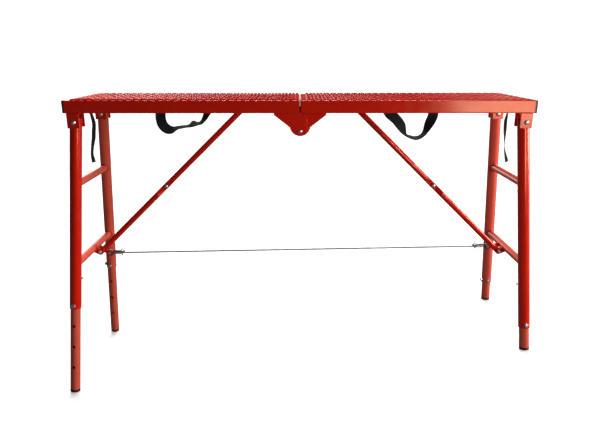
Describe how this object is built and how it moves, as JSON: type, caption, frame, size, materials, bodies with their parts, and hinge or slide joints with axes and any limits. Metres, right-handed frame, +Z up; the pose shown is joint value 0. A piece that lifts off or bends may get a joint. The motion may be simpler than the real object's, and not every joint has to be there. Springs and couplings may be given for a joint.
{
  "type": "folding sawhorse",
  "caption": "Folding steel trestle: a hinged deck of box rails and expanded metal on splayed tube legs with sliding inner legs, folding braces, a stay cable and webbing handles",
  "frame": {"origin": "on the floor, under the middle of the standing trestle", "axes": "+X along the deck toward the end with the shorter leg setting, +Y toward the back, away from the carrying handles, +Z up"},
  "size_m": [1.6438, 0.472, 0.9912],
  "materials": {
    "orange_paint": "satin orange-red powder coat over steel",
    "zinc": "bright zinc-plated fasteners",
    "steel_cable": "twisted galvanised wire rope",
    "black_plastic": "moulded end caps",
    "webbing": "woven black webbing"
  },
  "bodies": {
    "left_deck": {"left_front_rail": "orange_paint", "left_back_rail": "orange_paint", "left_end_rails": "orange_paint", "left_cross_bars": "orange_paint", "left_rail_caps": "black_plastic", "left_deck_mesh": "orange_paint", "left_hinge_plates": "orange_paint", "left_leg_brackets": "orange_paint", "left_pivot_bolts": "zinc", "left_brace_bracket": "orange_paint", "left_handle": "webbing", "left_handle_screws": "zinc", "left_tie_strap": "webbing", "hinge_bolts": "zinc", "tie_cable": "steel_cable", "cable_ferrules": "zinc"},
    "right_deck": {"right_front_rail": "orange_paint", "right_back_rail": "orange_paint", "right_end_rails": "orange_paint", "right_cross_bars": "orange_paint", "right_rail_caps": "black_plastic", "right_deck_mesh": "orange_paint", "right_hinge_plates": "orange_paint", "right_leg_brackets": "orange_paint", "right_pivot_bolts": "zinc", "right_brace_bracket": "orange_paint", "right_handle": "webbing", "right_handle_screws": "zinc", "right_tie_strap": "webbing"},
    "left_legs": {"left_front_leg_tube": "orange_paint", "left_back_leg_tube": "orange_paint", "left_upper_rung": "orange_paint", "left_lower_rung": "orange_paint", "left_lock_screws": "zinc", "left_stay_lugs": "orange_paint", "left_stay_bolts": "zinc"},
    "left_front_foot": {"left_front_inner_leg": "orange_paint", "left_front_foot_cap": "black_plastic"},
    "left_back_foot": {"left_back_inner_leg": "orange_paint", "left_back_foot_cap": "black_plastic"},
    "left_upper_link": {"left_upper_brace": "orange_paint", "left_knuckle_nut": "zinc"},
    "left_lower_link": {"left_lower_brace": "orange_paint", "left_knuckle_bolt": "zinc"},
    "right_legs": {"right_front_leg_tube": "orange_paint", "right_back_leg_tube": "orange_paint", "right_upper_rung": "orange_paint", "right_lower_rung": "orange_paint", "right_lock_screws": "zinc", "right_stay_lugs": "orange_paint", "right_stay_bolts": "zinc"},
    "right_front_foot": {"right_front_inner_leg": "orange_paint", "right_front_foot_cap": "black_plastic"},
    "right_back_foot": {"right_back_inner_leg": "orange_paint", "right_back_foot_cap": "black_plastic"},
    "right_upper_link": {"right_upper_brace": "orange_paint", "right_knuckle_nut": "zinc"},
    "right_lower_link": {"right_lower_brace": "orange_paint", "right_knuckle_bolt": "zinc"}
  },
  "joints": [
    {"name": "deck_fold", "type": "hinge", "parent": "left_deck", "child": "right_deck", "pos_m": [0.06595, 0, 0.81843], "axis": [0, 1, 0], "range_deg": [0, 80], "deforming": ["tie_cable", "cable_ferrules"]},
    {"name": "left_leg_fold", "type": "hinge", "parent": "left_deck", "child": "left_legs", "pos_m": [-0.64686, 0, 0.91695], "axis": [0, -1, 0], "range_deg": [0, 94.3], "deforming": ["tie_cable", "cable_ferrules"]},
    {"name": "left_upper_link_turn", "type": "hinge", "parent": "left_deck", "child": "left_upper_link", "pos_m": [-0.12351, 0, 0.89514], "axis": [0, 1, 0], "range_deg": [0, 44.14]},
    {"name": "left_lower_link_turn", "type": "hinge", "parent": "left_legs", "child": "left_lower_link", "pos_m": [-0.70133, 0, 0.43415], "axis": [0, -1, 0], "range_deg": [0, 41.56]},
    {"name": "left_front_leg_slide", "type": "slide", "parent": "left_legs", "child": "left_front_foot", "axis": [0.1704, 0.0993, 0.9804], "range_m": [-0.075, 0.225]},
    {"name": "left_back_leg_slide", "type": "slide", "parent": "left_legs", "child": "left_back_foot", "axis": [0.1704, -0.0993, 0.9804], "range_m": [-0.075, 0.225]},
    {"name": "right_leg_fold", "type": "hinge", "parent": "right_deck", "child": "right_legs", "pos_m": [0.78438, 0, 0.77763], "axis": [0, 1, 0], "range_deg": [0, 94.3], "deforming": ["tie_cable", "cable_ferrules"]},
    {"name": "right_upper_link_turn", "type": "hinge", "parent": "right_deck", "child": "right_upper_link", "pos_m": [0.26665, 0, 0.85717], "axis": [0, -1, 0], "range_deg": [0, 44.14]},
    {"name": "right_lower_link_turn", "type": "hinge", "parent": "right_legs", "child": "right_lower_link", "pos_m": [0.74472, 0, 0.29339], "axis": [0, 1, 0], "range_deg": [0, 41.56]},
    {"name": "right_front_leg_slide", "type": "slide", "parent": "right_legs", "child": "right_front_foot", "axis": [0.0219, 0.0993, 0.9948], "range_m": [-0.3, 0]},
    {"name": "right_back_leg_slide", "type": "slide", "parent": "right_legs", "child": "right_back_foot", "axis": [0.0219, -0.0993, 0.9948], "range_m": [-0.3, 0]}
  ],
  "couplings": [
    {"joint": "left_upper_link_turn", "follows": "left_leg_fold", "ratio": 0.46811},
    {"joint": "left_lower_link_turn", "follows": "left_leg_fold", "ratio": 0.44069},
    {"joint": "right_upper_link_turn", "follows": "right_leg_fold", "ratio": 0.46811},
    {"joint": "right_lower_link_turn", "follows": "right_leg_fold", "ratio": 0.44069}
  ]
}
